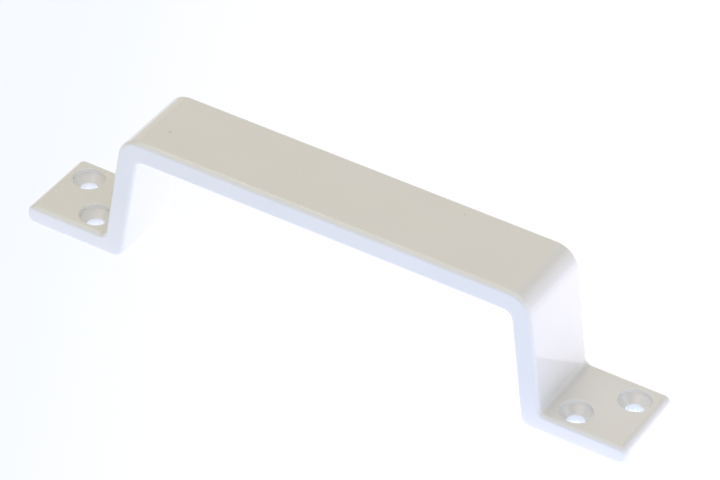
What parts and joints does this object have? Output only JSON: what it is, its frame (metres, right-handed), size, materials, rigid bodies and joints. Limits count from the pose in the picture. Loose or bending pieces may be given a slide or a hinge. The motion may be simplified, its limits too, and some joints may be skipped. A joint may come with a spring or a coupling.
{
  "type": "case handle",
  "caption": "Hat-shaped case handle with a flat bar, leaning legs and flat feet with countersunk screw holes, in gloss off-white powder coat.",
  "frame": {"origin": "on the mounting plane under the feet, midway between the feet and on the middle line of the width", "axes": "+X along the bar from foot to foot, +Y across the width towards the edge with the outer screw holes, +Z from the mounting plane up to the bar"},
  "size_m": [0.15, 0.0208, 0.0334],
  "materials": {
    "powder_coat": "gloss"
  },
  "bodies": {
    "root": {"handle": "powder_coat"}
  },
  "joints": []
}
